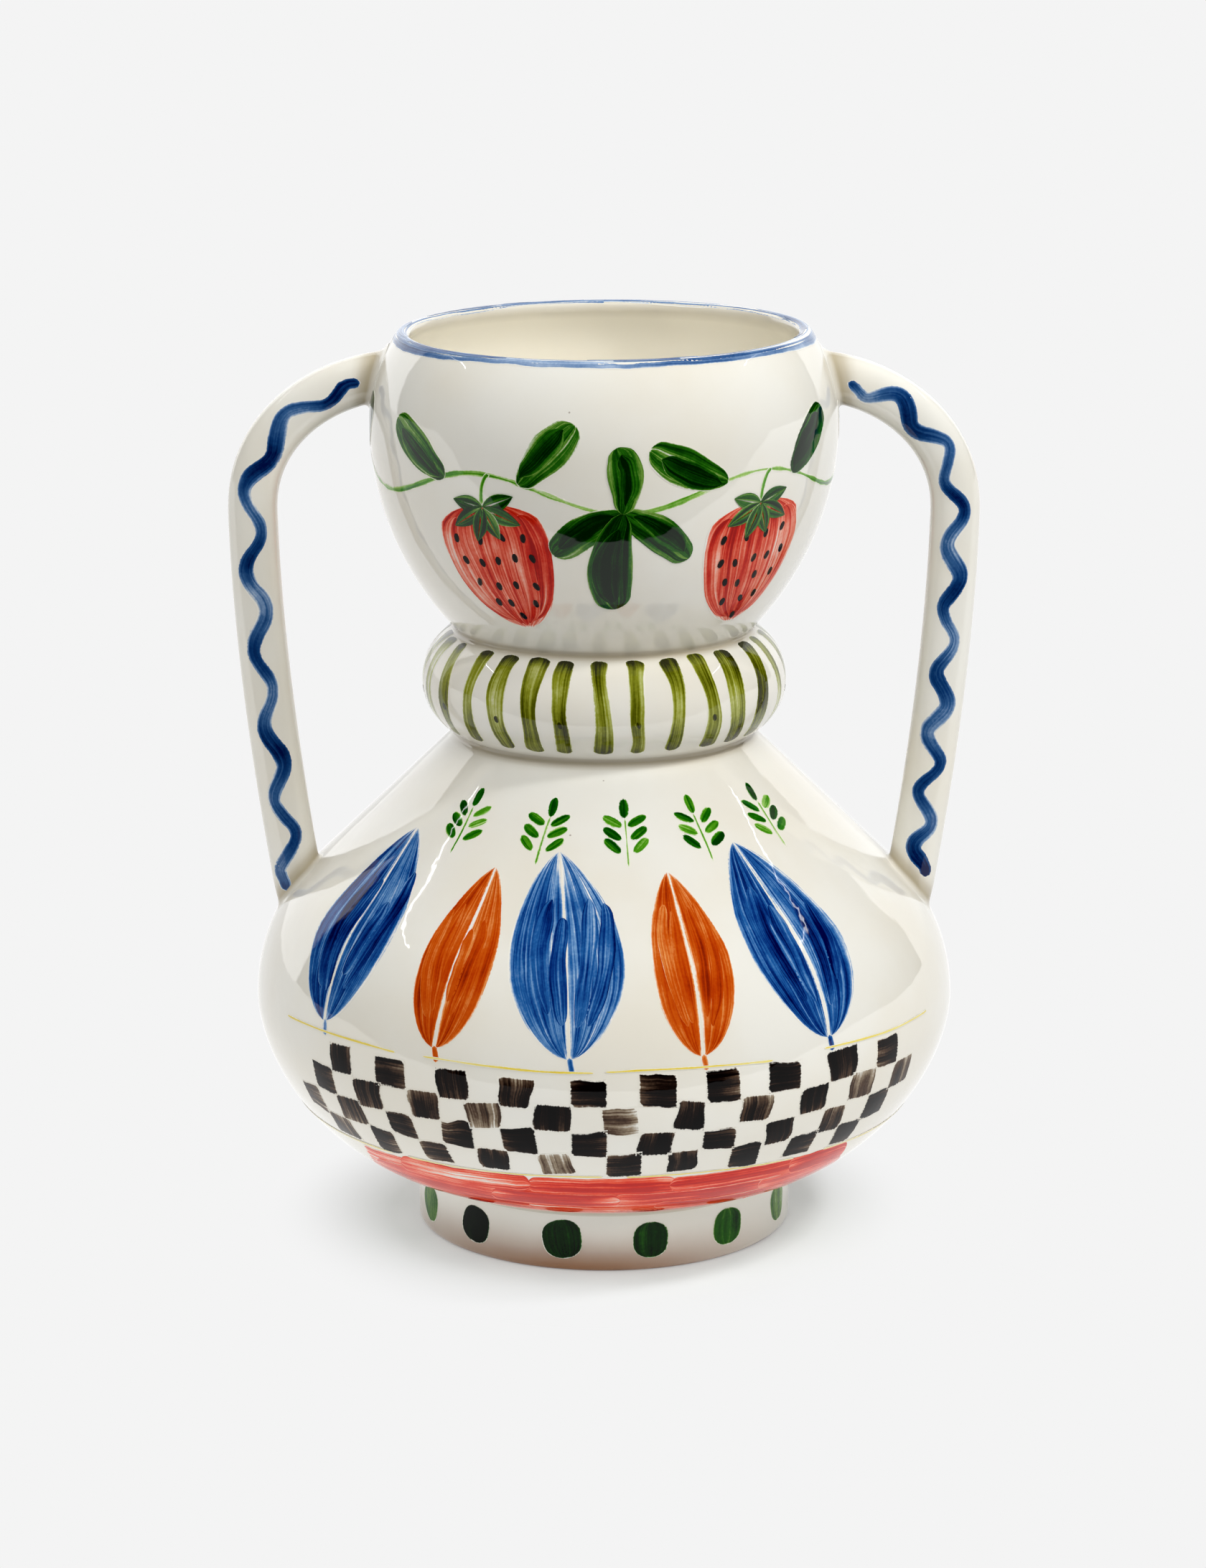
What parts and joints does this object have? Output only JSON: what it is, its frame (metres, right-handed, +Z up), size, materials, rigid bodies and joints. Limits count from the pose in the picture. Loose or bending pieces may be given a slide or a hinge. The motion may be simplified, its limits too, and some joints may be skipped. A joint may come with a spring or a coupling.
{
  "type": "two-handled vase",
  "caption": "Glazed ceramic flower vase: round belly on a foot ring, bulging collar, bowl-shaped mouth, and a loop handle on each side.",
  "frame": {"origin": "centre of the foot ring's underside, on the surface that the vase stands on", "axes": "+Z up along the axis of the bowl and belly, +X through the right handle as seen from the front, +Y to the back"},
  "size_m": [0.3098, 0.2926, 0.38],
  "materials": {
    "white_glaze": "glossy warm white glaze over painted colour",
    "slip": "fired slip, glazed over where it shows"
  },
  "bodies": {
    "root": {"foot_ring": "white_glaze", "foot_slip_joint": "slip", "belly": "white_glaze", "lower_collar_slip_joint": "slip", "collar_ring": "white_glaze", "upper_collar_slip_joint": "slip", "bowl": "white_glaze", "right_handle": "white_glaze", "right_handle_bowl_coil": "white_glaze", "right_handle_belly_coil": "white_glaze", "left_handle": "white_glaze", "left_handle_bowl_coil": "white_glaze", "left_handle_belly_coil": "white_glaze"}
  },
  "joints": []
}
